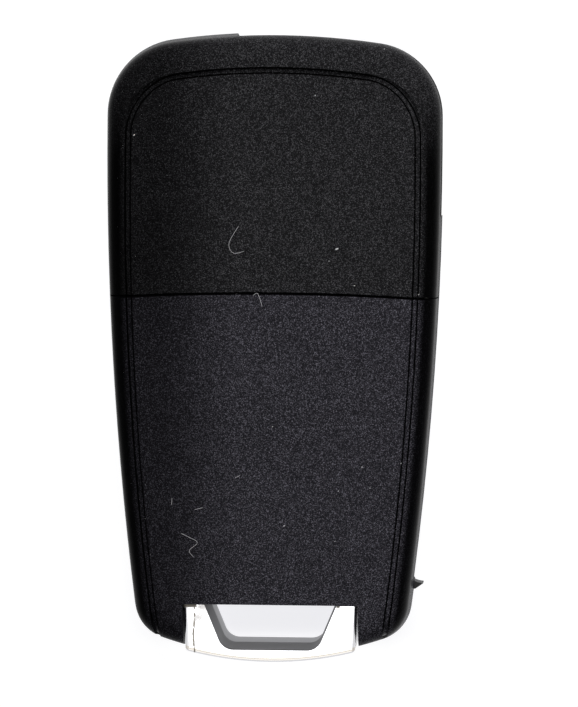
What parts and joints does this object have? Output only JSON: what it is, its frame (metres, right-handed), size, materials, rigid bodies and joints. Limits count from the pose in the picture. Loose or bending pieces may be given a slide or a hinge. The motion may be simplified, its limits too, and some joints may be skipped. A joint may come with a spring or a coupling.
{
  "type": "flip key remote",
  "caption": "Folding car key remote: a tapered two-part black housing with a plated key ring loop, remote buttons on the front, and a steel blade that swings out of a side slot.",
  "frame": {"origin": "middle of the bounding box, at the level of the front face that it rests on", "axes": "+Y along the remote towards the blade's hub, +X across it towards the side with the folded blade, +Z from the front face with the buttons up to the rear face with the battery cover"},
  "size_m": [0.0418, 0.0779, 0.016],
  "materials": {
    "shell_plastic": "spark-textured black moulding",
    "plating": "bright plating over plastic",
    "blade_steel": "fine-ground nickel silver",
    "hub_plastic": "smooth black moulding",
    "spring_steel": "bright spring steel",
    "cap_rubber": "soft-touch black",
    "silicone": "grey silicone",
    "board": "green solder mask",
    "switch_metal": "tinned cover",
    "chip_plastic": "moulded epoxy",
    "winding": "enamelled copper wire",
    "ceramic_body": "small ceramic bodies",
    "tray_plastic": "natural nylon",
    "cell_steel": "satin nickel-plated can",
    "screw_steel": "zinc-plated"
  },
  "bodies": {
    "housing": {"front_shell": "shell_plastic", "rear_shell": "shell_plastic", "key_ring_loop": "plating", "hub_washer": "spring_steel", "keypad_mat": "silicone", "circuit_board": "board", "lock_switch": "switch_metal", "unlock_switch": "switch_metal", "trunk_switch": "switch_metal", "alarm_switch": "switch_metal", "microcontroller_chip": "chip_plastic", "radio_chip": "chip_plastic", "crystal": "switch_metal", "transponder_coil": "winding", "passive_components": "ceramic_body", "battery_tray": "tray_plastic", "coin_cell": "cell_steel", "battery_clip_positive": "spring_steel", "battery_spring_negative": "spring_steel", "case_screw": "screw_steel", "loop_screws": "screw_steel"},
    "hub": {"blade_hub": "hub_plastic", "key_blade": "blade_steel", "blade_pin": "blade_steel", "hub_spring": "spring_steel"},
    "release": {"release_button": "plating"},
    "cover": {"battery_cover": "shell_plastic"},
    "lock_cap": {"lock_button": "cap_rubber"},
    "unlock_cap": {"unlock_button": "cap_rubber"},
    "trunk_cap": {"trunk_button": "cap_rubber"},
    "alarm_cap": {"alarm_button": "cap_rubber"}
  },
  "joints": [
    {"name": "blade_hinge", "type": "hinge", "parent": "housing", "child": "hub", "pos_m": [0.008, 0.0295, 0.0086], "axis": [0, 0, 1], "range_deg": [0, 182.9]},
    {"name": "release_press", "type": "slide", "parent": "hub", "child": "release", "axis": [0, 0, 1], "range_m": [0, 0.0018], "stiffness_N_per_m": 900, "springref_m": -0.001, "deforming": ["hub_spring"]},
    {"name": "cover_lift", "type": "slide", "parent": "housing", "child": "cover", "axis": [0, 0, 1], "range_m": [0, 0.012]},
    {"name": "lock_press", "type": "slide", "parent": "housing", "child": "lock_cap", "axis": [0, 0, 1], "range_m": [0, 0.0005], "stiffness_N_per_m": 2000, "springref_m": -0.0002, "deforming": ["keypad_mat"]},
    {"name": "unlock_press", "type": "slide", "parent": "housing", "child": "unlock_cap", "axis": [0, 0, 1], "range_m": [0, 0.0005], "stiffness_N_per_m": 2000, "springref_m": -0.0002},
    {"name": "trunk_press", "type": "slide", "parent": "housing", "child": "trunk_cap", "axis": [0, 0, 1], "range_m": [0, 0.0005], "stiffness_N_per_m": 2000, "springref_m": -0.0002},
    {"name": "alarm_press", "type": "slide", "parent": "housing", "child": "alarm_cap", "axis": [0, 0, 1], "range_m": [0, 0.0005], "stiffness_N_per_m": 2000, "springref_m": -0.0002}
  ]
}
